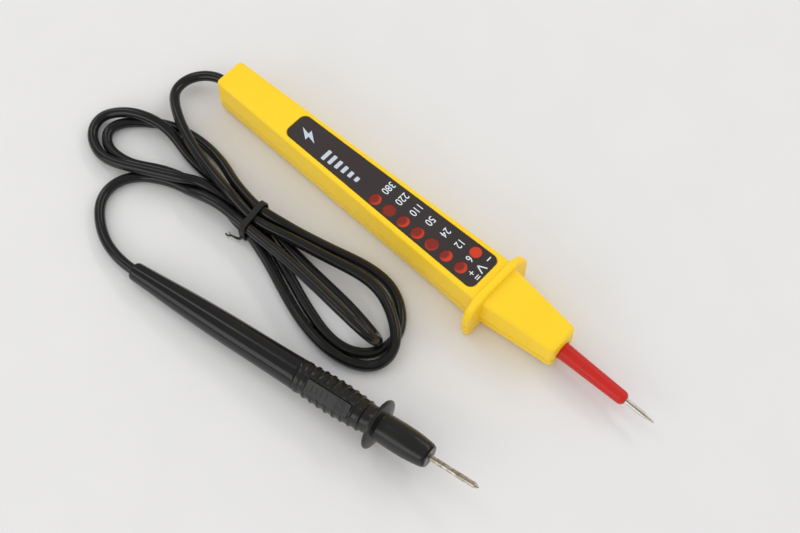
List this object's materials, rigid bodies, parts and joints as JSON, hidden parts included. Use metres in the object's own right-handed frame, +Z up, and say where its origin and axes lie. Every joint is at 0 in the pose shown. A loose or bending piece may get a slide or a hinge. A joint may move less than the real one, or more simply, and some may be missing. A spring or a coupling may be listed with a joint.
{
  "type": "voltage tester",
  "caption": "Contact voltage tester: a yellow wand with a lamp ladder and a sleeved needle, joined by a folded black lead to a black test probe.",
  "frame": {"origin": "on the flat underside of the handle, on its centre line, halfway between the rear face and the finger guard", "axes": "+X along the tester from the lead towards the needle, +Z up out of the face that carries the lamps, +Y to the left of somebody looking along +X from above"},
  "size_m": [0.2224, 0.0929, 0.0182],
  "materials": {
    "housing_yellow": "smooth glossy moulded ABS",
    "label_dark": "fine satin printed film, pale scale markings",
    "window_red": "translucent red film",
    "lamp_red": "diffused red epoxy",
    "board_green": "solder-masked glass laminate",
    "resistor_beige": "lacquered",
    "resistor_blue": "lacquered",
    "diode_black": "moulded epoxy",
    "needle_nickel": "bright nickel plate",
    "sleeve_red": "smooth glossy nylon",
    "contact_brass": "bright",
    "wire_red": "PVC insulation",
    "wire_black": "PVC insulation",
    "screw_steel": "zinc plated",
    "lead_black": "satin soft PVC",
    "tie_grey": "ridged PVC over a wire core",
    "tie_white": "natural nylon",
    "probe_gloss_black": "polished ABS",
    "probe_matte_black": "fine sparked texture",
    "copper": "bare stranded copper"
  },
  "bodies": {
    "tester": {"upper_shell": "housing_yellow", "lower_shell": "housing_yellow", "face_label": "label_dark", "window_film": "window_red", "circuit_board": "board_green", "led_polarity": "lamp_red", "led_1": "lamp_red", "led_2": "lamp_red", "led_3": "lamp_red", "led_4": "lamp_red", "led_5": "lamp_red", "led_6": "lamp_red", "led_7": "lamp_red", "resistor_1": "resistor_beige", "resistor_2": "resistor_beige", "resistor_3": "resistor_beige", "resistor_4": "resistor_beige", "resistor_5": "resistor_beige", "resistor_6": "resistor_beige", "resistor_7": "resistor_beige", "input_resistor_1": "resistor_blue", "input_resistor_2": "resistor_blue", "diode_1": "diode_black", "diode_2": "diode_black", "tester_needle": "needle_nickel", "needle_sleeve": "sleeve_red", "needle_contact": "contact_brass", "needle_wire": "wire_red", "core_wire": "wire_black", "housing_screws": "screw_steel", "lead_root": "lead_black", "inner_tie": "tie_white", "lead_hank": "lead_black", "lead_tail": "lead_black", "twist_tie": "tie_grey"},
    "test_probe": {"probe_handle": "probe_gloss_black", "probe_grip": "probe_matte_black", "probe_bush": "probe_gloss_black", "probe_needle": "needle_nickel", "probe_crimp": "contact_brass", "probe_core": "copper", "probe_lead_end": "lead_black"}
  },
  "joints": [
    {"name": "probe_lift", "type": "slide", "parent": "tester", "child": "test_probe", "axis": [0, 0, 1], "range_m": [0, 0.03], "deforming": ["lead_tail"]}
  ]
}
